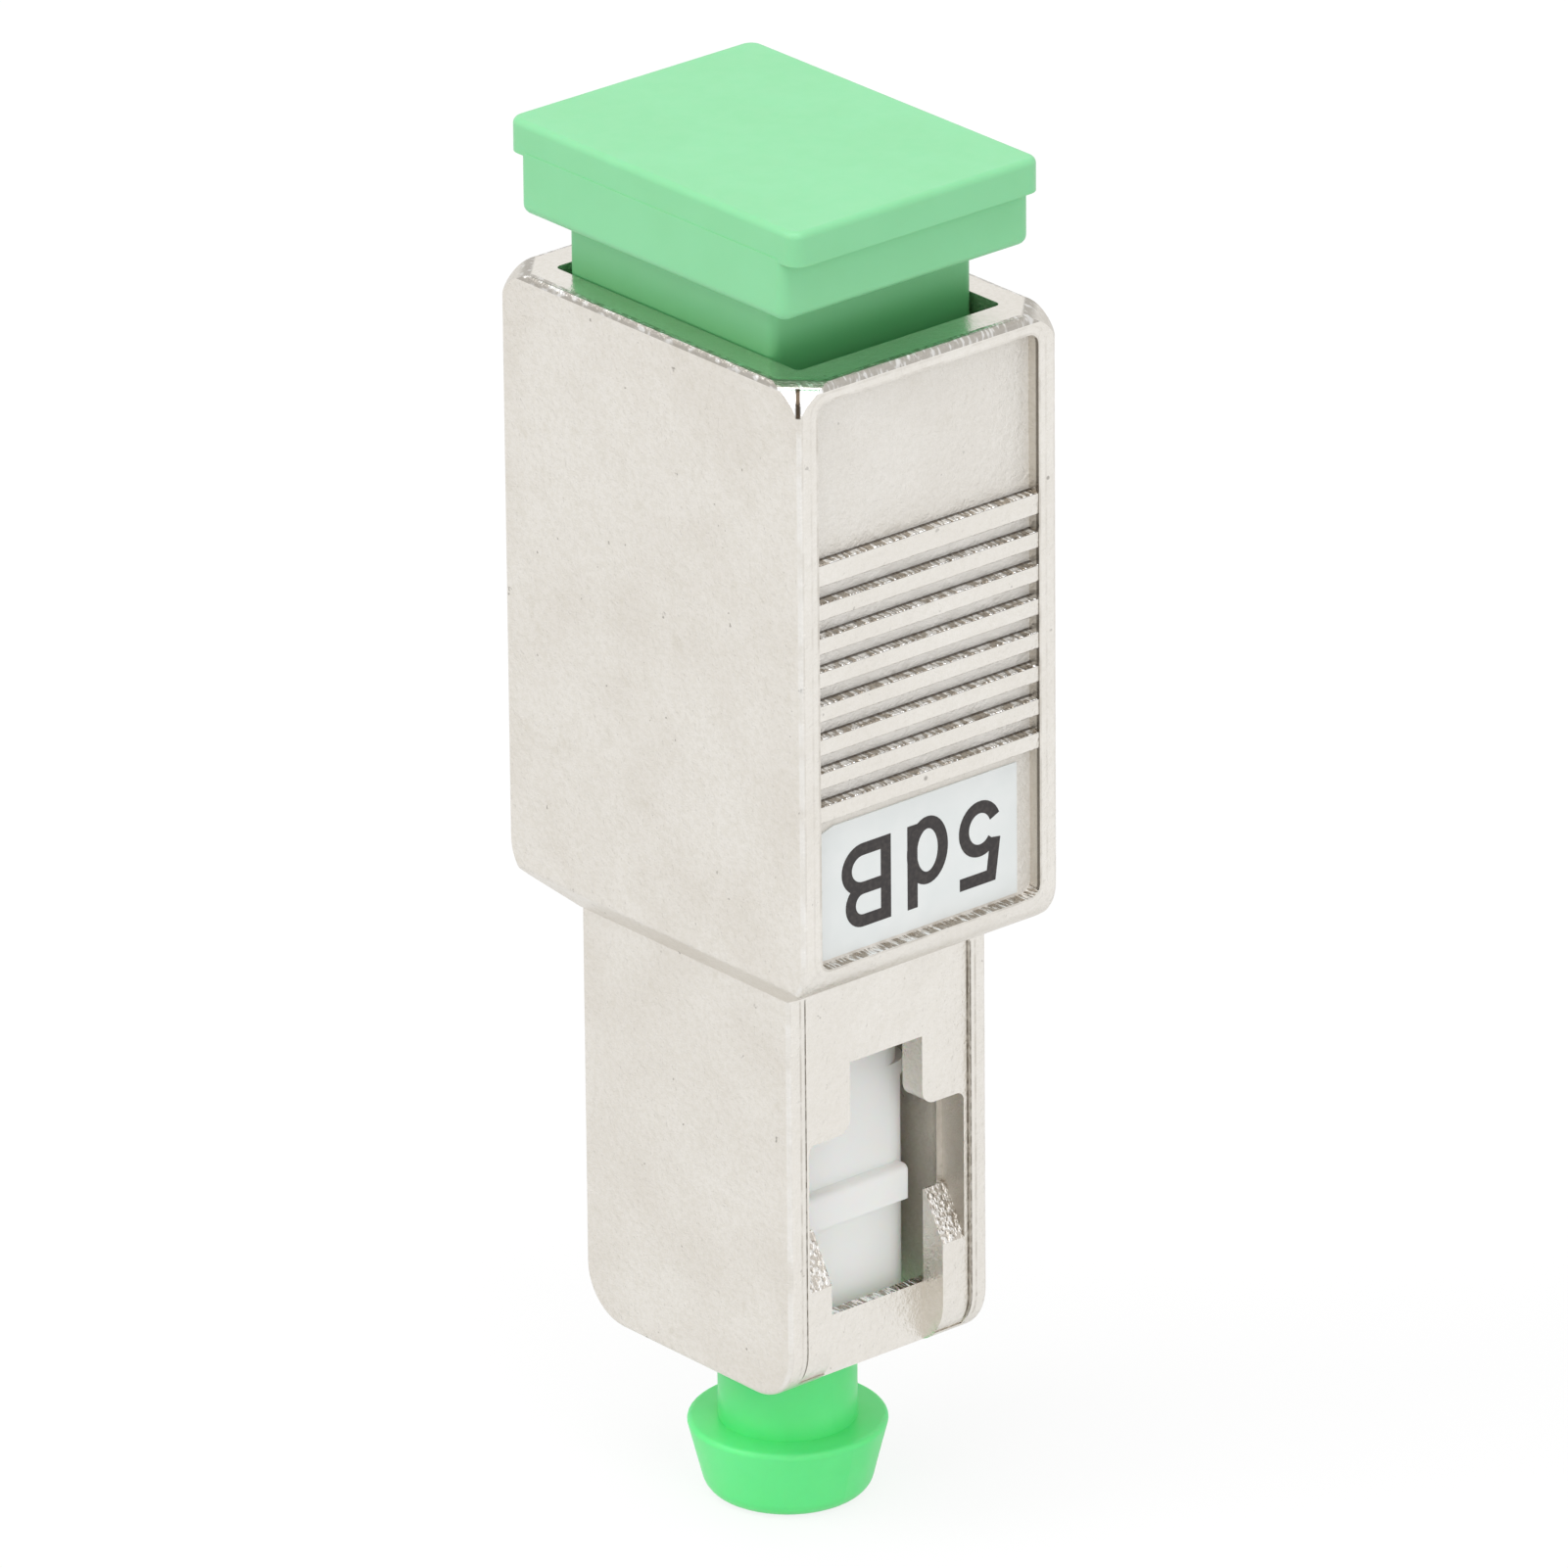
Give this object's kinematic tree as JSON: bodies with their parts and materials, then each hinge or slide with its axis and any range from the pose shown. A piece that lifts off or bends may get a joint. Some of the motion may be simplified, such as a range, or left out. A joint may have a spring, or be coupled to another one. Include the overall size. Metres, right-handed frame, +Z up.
{
  "type": "fibre optic attenuator",
  "caption": "In-line fibre optic attenuator: metal housing with a square push-pull plug at one end and a matching receptacle at the other, both with green dust covers.",
  "frame": {"origin": "centre of the ferrule cap's flat foot, at the bottom of the bounding box", "axes": "+Z up along the optical axis from the plug end to the receptacle end, X across the wide faces, +Y towards the side with the locating key and the keyway"},
  "size_m": [0.0128, 0.0094, 0.0413],
  "materials": {
    "satin_nickel": "satin nickel plate on die-cast zinc alloy",
    "label_film": "white polyester label film",
    "white_plastic": "moulded, semi-gloss",
    "natural_plastic": "moulded, matt",
    "zirconia": "ground and polished",
    "silica": "polished",
    "plated_brass": "nickel plated",
    "spring_steel": "drawn wire",
    "pale_green_plastic": "soft moulded, satin",
    "bright_green_plastic": "soft moulded, satin"
  },
  "bodies": {
    "housing": {"metal_housing": "satin_nickel", "value_label": "label_film"},
    "frame": {"plug_frame": "white_plastic", "latch_insert": "natural_plastic", "sleeve_retainer": "natural_plastic", "split_sleeve": "zirconia"},
    "ferrule_set": {"ferrule": "zirconia", "doped_fibre": "silica", "ferrule_flange": "plated_brass", "ferrule_spring": "spring_steel"},
    "tip_cap": {"ferrule_cap": "bright_green_plastic"},
    "port_plug": {"port_dust_plug": "pale_green_plastic"}
  },
  "joints": [
    {"name": "frame_release", "type": "slide", "parent": "housing", "child": "frame", "axis": [0, 0, -1], "range_m": [0, 0.0015]},
    {"name": "ferrule_float", "type": "slide", "parent": "frame", "child": "ferrule_set", "axis": [0, 0, 1], "range_m": [0, 0.001], "stiffness_N_per_m": 1000, "deforming": ["ferrule_spring"]},
    {"name": "cap_pull", "type": "slide", "parent": "ferrule_set", "child": "tip_cap", "axis": [0, 0, -1], "range_m": [0, 0.01]},
    {"name": "plug_pull", "type": "slide", "parent": "housing", "child": "port_plug", "axis": [0, 0, 1], "range_m": [0, 0.012]}
  ]
}
